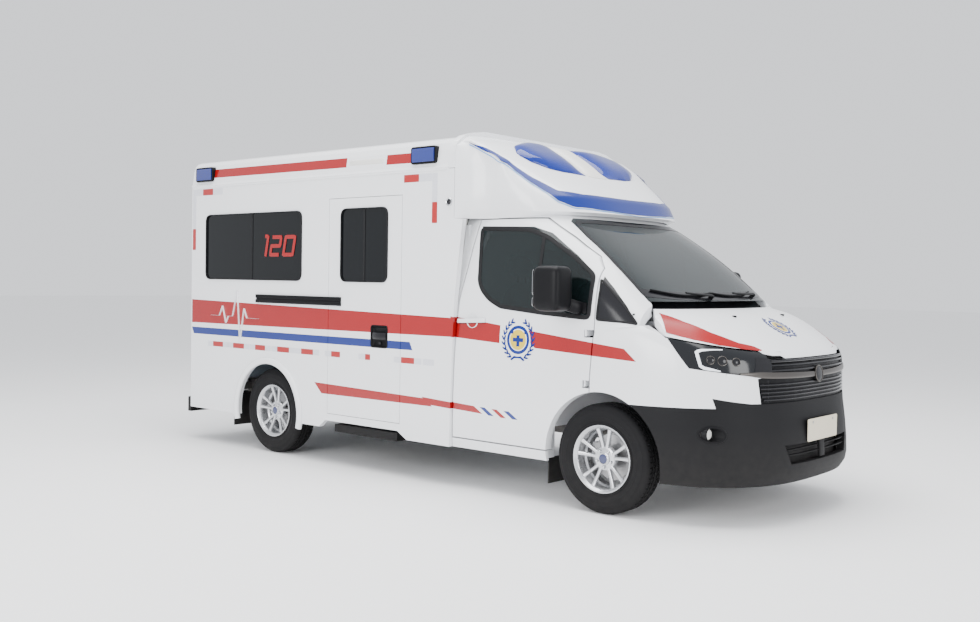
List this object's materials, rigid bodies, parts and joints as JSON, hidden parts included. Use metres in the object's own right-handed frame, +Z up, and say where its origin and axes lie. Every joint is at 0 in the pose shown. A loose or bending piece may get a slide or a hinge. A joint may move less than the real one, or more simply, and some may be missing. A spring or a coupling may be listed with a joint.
{
  "type": "box-body ambulance",
  "caption": "Van-based ambulance with a box body, cab fairing with blue beacons, opening hood, cab and rear doors, steered front wheels and turning road wheels.",
  "frame": {"origin": "on the ground at the centre of the vehicle's plan box", "axes": "+X forward, +Y to the vehicle's left, +Z up"},
  "size_m": [5.53, 2.46, 2.525],
  "materials": {
    "white_paint": "gloss",
    "white_grp": "gloss",
    "frame_black": "satin",
    "cast_metal": "rough",
    "exhaust_steel": "satin",
    "engine_metal": "satin",
    "cab_glass": "gloss",
    "dark_glass": "gloss",
    "bumper_plastic": "grained",
    "black_plastic": "satin",
    "gloss_black": "gloss",
    "lamp_lens": "gloss",
    "blue_lens": "gloss",
    "red_lens": "gloss",
    "seat_cloth": "woven",
    "floor_vinyl": "satin",
    "lining": "satin",
    "tyre_rubber": "matte",
    "alloy": "satin",
    "disc_steel": "satin",
    "rubber": "matte"
  },
  "bodies": {
    "vehicle": {"chassis_frame": "frame_black", "rear_axle": "cast_metal", "front_suspension": "frame_black", "engine": "engine_metal", "exhaust": "exhaust_steel", "fuel_tank": "black_plastic", "cab_shell": "white_paint", "fenders": "white_paint", "windscreen": "cab_glass", "quarter_glass": "gloss_black", "cowl": "black_plastic", "front_bumper": "bumper_plastic", "bumper_corners": "white_paint", "grille": "black_plastic", "headlights": "lamp_lens", "dashboard": "black_plastic", "steering_wheel": "black_plastic", "cab_seats": "seat_cloth", "box_floor": "floor_vinyl", "box_side_right": "white_grp", "box_side_left": "white_grp", "box_roof": "white_grp", "bulkhead": "lining", "rear_frame": "white_grp", "side_windows": "dark_glass", "sliding_door": "white_grp", "door_rail": "black_plastic", "roof_fairing": "white_grp", "beacons": "blue_lens", "strobe_lights": "blue_lens", "side_step": "black_plastic", "rear_bumper": "black_plastic", "tail_lights": "red_lens", "mudflaps": "rubber"},
    "hood": {"hood": "white_paint"},
    "cab_door_right": {"cab_door_right": "white_paint", "door_glass_right": "cab_glass", "mirror_right": "black_plastic"},
    "cab_door_left": {"cab_door_left": "white_paint", "door_glass_left": "cab_glass", "mirror_left": "black_plastic"},
    "rear_door_right": {"rear_door_right": "white_grp", "rear_glass_right": "dark_glass"},
    "rear_door_left": {"rear_door_left": "white_grp", "rear_glass_left": "dark_glass"},
    "knuckle_right": {"knuckle_right": "disc_steel"},
    "knuckle_left": {"knuckle_left": "disc_steel"},
    "wheel_front_right": {"tyre_front_right": "tyre_rubber", "rim_front_right": "alloy"},
    "wheel_front_left": {"tyre_front_left": "tyre_rubber", "rim_front_left": "alloy"},
    "wheel_rear_right": {"tyre_rear_right": "tyre_rubber", "rim_rear_right": "alloy"},
    "wheel_rear_left": {"tyre_rear_left": "tyre_rubber", "rim_rear_left": "alloy"}
  },
  "joints": [
    {"name": "hood_hinge", "type": "hinge", "parent": "vehicle", "child": "hood", "pos_m": [1.997, 0, 1.276], "axis": [0, -1, 0], "range_deg": [0, 55]},
    {"name": "cab_door_right_hinge", "type": "hinge", "parent": "vehicle", "child": "cab_door_right", "pos_m": [1.61, -0.99, 1], "axis": [0, 0, 1], "range_deg": [0, 68]},
    {"name": "cab_door_left_hinge", "type": "hinge", "parent": "vehicle", "child": "cab_door_left", "pos_m": [1.61, 0.99, 1], "axis": [0, 0, -1], "range_deg": [0, 68]},
    {"name": "rear_door_right_hinge", "type": "hinge", "parent": "vehicle", "child": "rear_door_right", "pos_m": [-2.689, -0.896, 1.3], "axis": [0, 0, 1], "range_deg": [0, 180]},
    {"name": "rear_door_left_hinge", "type": "hinge", "parent": "vehicle", "child": "rear_door_left", "pos_m": [-2.689, 0.896, 1.3], "axis": [0, 0, -1], "range_deg": [0, 180]},
    {"name": "steer_right", "type": "hinge", "parent": "vehicle", "child": "knuckle_right", "pos_m": [1.735, -0.8, 0.35], "axis": [0, 0, 1], "range_deg": [-32, 32]},
    {"name": "steer_left", "type": "hinge", "parent": "vehicle", "child": "knuckle_left", "pos_m": [1.735, 0.8, 0.35], "axis": [0, 0, 1], "range_deg": [-32, 32]},
    {"name": "wheel_front_right_spin", "type": "hinge", "parent": "knuckle_right", "child": "wheel_front_right", "pos_m": [1.735, -0.885, 0.35], "axis": [0, 1, 0], "continuous": true},
    {"name": "wheel_front_left_spin", "type": "hinge", "parent": "knuckle_left", "child": "wheel_front_left", "pos_m": [1.735, 0.885, 0.35], "axis": [0, 1, 0], "continuous": true},
    {"name": "wheel_rear_right_spin", "type": "hinge", "parent": "vehicle", "child": "wheel_rear_right", "pos_m": [-1.565, -0.885, 0.35], "axis": [0, 1, 0], "continuous": true},
    {"name": "wheel_rear_left_spin", "type": "hinge", "parent": "vehicle", "child": "wheel_rear_left", "pos_m": [-1.565, 0.885, 0.35], "axis": [0, 1, 0], "continuous": true}
  ],
  "couplings": [
    {"joint": "steer_left", "follows": "steer_right", "ratio": 1}
  ]
}
